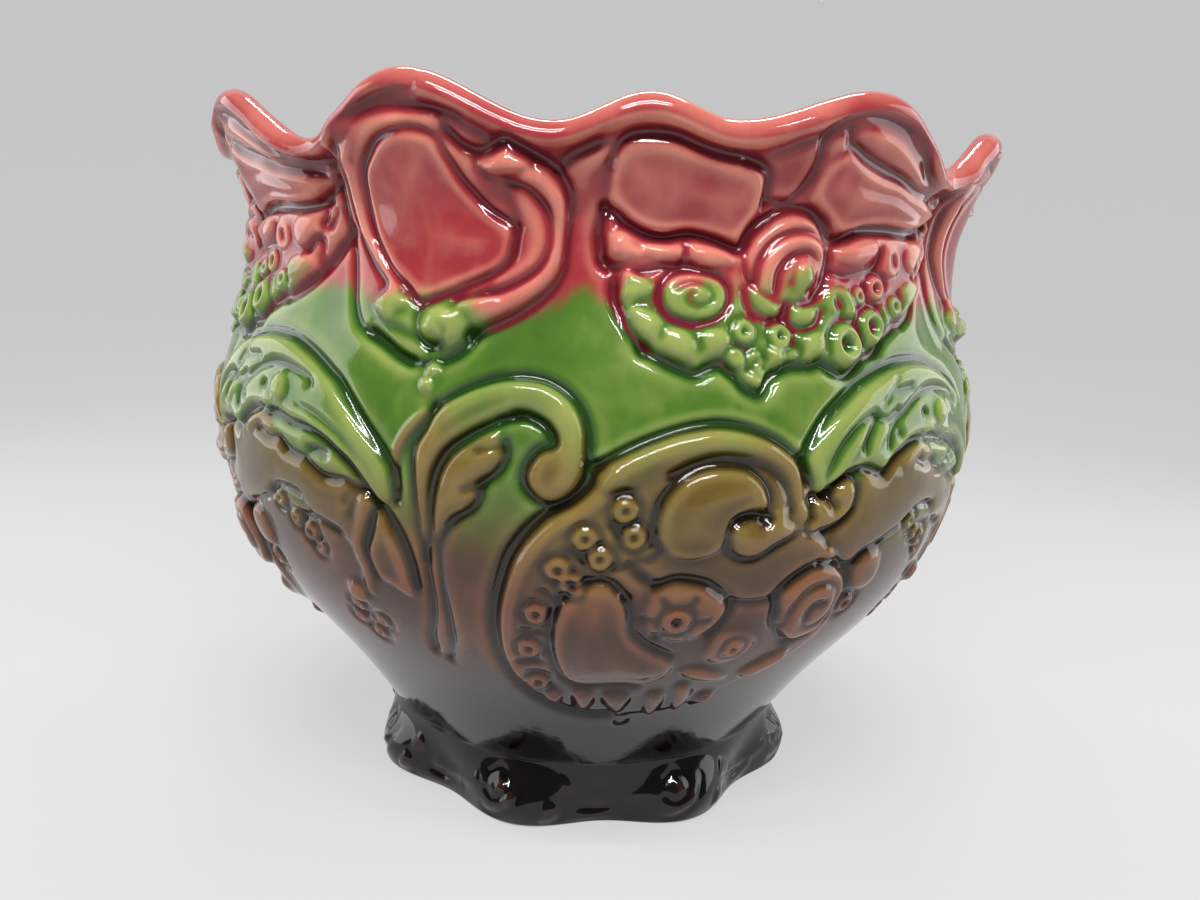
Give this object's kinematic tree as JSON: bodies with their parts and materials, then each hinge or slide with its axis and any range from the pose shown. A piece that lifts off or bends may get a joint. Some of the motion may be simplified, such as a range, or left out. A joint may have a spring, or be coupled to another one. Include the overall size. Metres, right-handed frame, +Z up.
{
  "type": "jardiniere on foot",
  "caption": "Round glazed earthenware jardiniere with a scalloped rolled rim and moulded relief, on its own low lobed foot; holds a plant pot.",
  "frame": {"origin": "centre of the foot's underside, on the surface that the pot stands on", "axes": "+Z up along the pot's axis; the front seen in the picture faces -Y, +X to the right"},
  "size_m": [0.2426, 0.2426, 0.2036],
  "materials": {
    "bowl_glaze": "glossy majolica glaze",
    "rose_glaze": "glossy majolica glaze",
    "green_glaze": "glossy majolica glaze",
    "brown_glaze": "glossy majolica glaze",
    "dark_glaze": "glossy majolica glaze"
  },
  "bodies": {
    "root": {"bowl_wall": "bowl_glaze", "bowl_floor": "bowl_glaze", "rim_lip": "rose_glaze", "foot_ring": "dark_glaze", "cartouche_1": "rose_glaze", "cartouche_2": "rose_glaze", "cartouche_3": "rose_glaze", "cartouche_4": "rose_glaze", "cartouche_scroll_1": "rose_glaze", "cartouche_scroll_2": "rose_glaze", "cartouche_scroll_3": "rose_glaze", "cartouche_scroll_4": "rose_glaze", "neck_panels_1": "rose_glaze", "neck_panels_2": "rose_glaze", "neck_panels_3": "rose_glaze", "neck_panels_4": "rose_glaze", "cartouche_knob_1": "green_glaze", "cartouche_knob_2": "green_glaze", "cartouche_knob_3": "green_glaze", "cartouche_knob_4": "green_glaze", "flower_spray_1": "green_glaze", "flower_spray_2": "green_glaze", "flower_spray_3": "green_glaze", "flower_spray_4": "green_glaze", "spray_rose_1": "rose_glaze", "spray_rose_2": "rose_glaze", "spray_rose_3": "rose_glaze", "spray_rose_4": "rose_glaze", "spray_berries_1": "green_glaze", "spray_berries_2": "green_glaze", "spray_berries_3": "green_glaze", "spray_berries_4": "green_glaze", "leaf_arch_1": "brown_glaze", "leaf_arch_2": "brown_glaze", "leaf_arch_3": "brown_glaze", "leaf_arch_4": "brown_glaze", "wave_scroll_1": "brown_glaze", "wave_scroll_2": "brown_glaze", "wave_scroll_3": "brown_glaze", "wave_scroll_4": "brown_glaze", "garland_arch_1": "brown_glaze", "garland_arch_2": "brown_glaze", "garland_arch_3": "brown_glaze", "garland_arch_4": "brown_glaze", "bean_panels_1": "brown_glaze", "bean_panels_2": "brown_glaze", "bean_panels_3": "brown_glaze", "bean_panels_4": "brown_glaze", "bead_string_1": "brown_glaze", "bead_string_2": "brown_glaze", "bead_string_3": "brown_glaze", "bead_string_4": "brown_glaze", "garland_flower_1": "brown_glaze", "garland_flower_2": "brown_glaze", "garland_flower_3": "brown_glaze", "garland_flower_4": "brown_glaze", "garland_shell_1": "brown_glaze", "garland_shell_2": "brown_glaze", "garland_shell_3": "brown_glaze", "garland_shell_4": "brown_glaze"}
  },
  "joints": []
}
